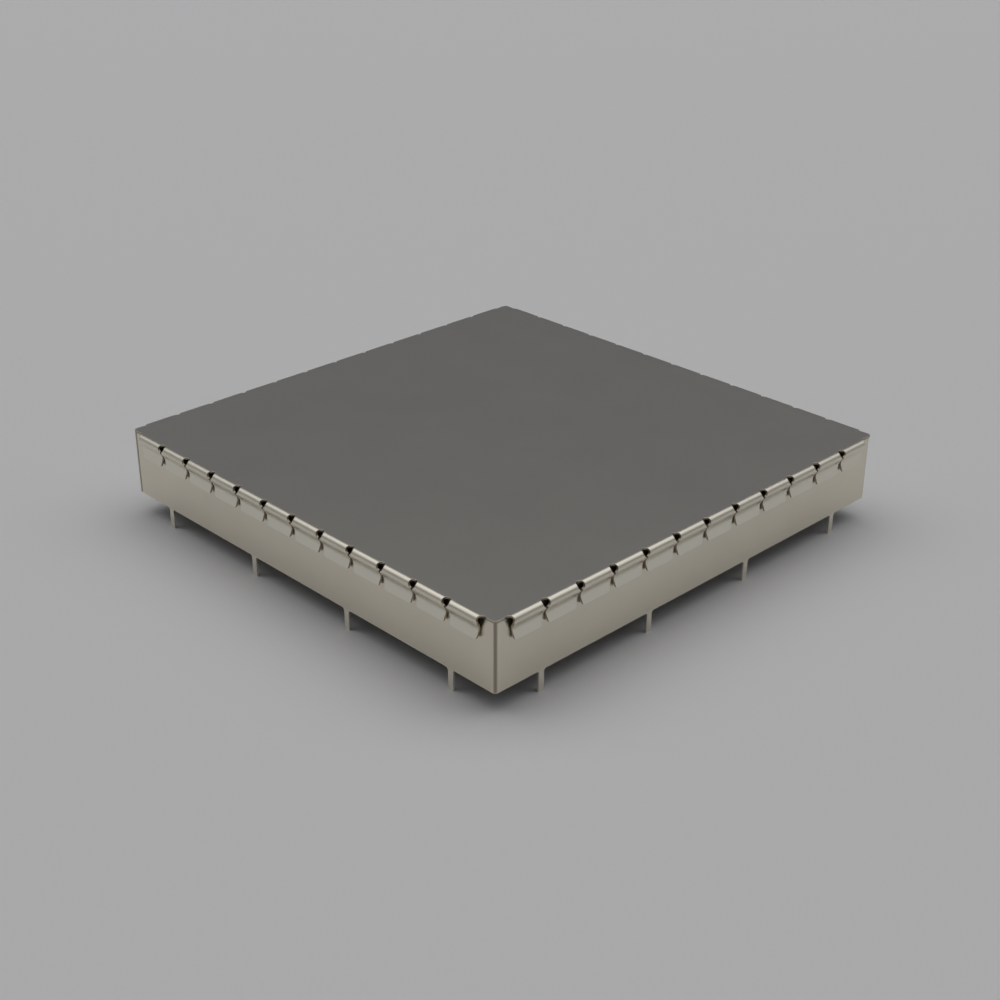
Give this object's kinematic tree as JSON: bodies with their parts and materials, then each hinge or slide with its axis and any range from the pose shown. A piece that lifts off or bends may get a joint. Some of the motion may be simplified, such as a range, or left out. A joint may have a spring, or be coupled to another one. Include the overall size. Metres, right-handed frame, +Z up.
{
  "type": "emi shield can",
  "caption": "Square two-piece screening can for a circuit board: a folded sheet fence with solder pins, and a flat lid with sprung fingers that clip over the outside of the fence.",
  "frame": {"origin": "middle of the can's footprint, on the board's surface, where the fence's lower edge sits", "axes": "+Z up from the board through the lid, +X and +Y along the fence's walls, with the seam of the folded strip at the -X +Y corner"},
  "size_m": [0.0516, 0.0516, 0.0088],
  "materials": {
    "nickel_silver": "satin"
  },
  "bodies": {
    "fence": {"fence": "nickel_silver"},
    "lid": {"lid": "nickel_silver"}
  },
  "joints": [
    {"name": "lid_lift", "type": "slide", "parent": "fence", "child": "lid", "axis": [0, 0, 1], "range_m": [0, 0.01]}
  ]
}
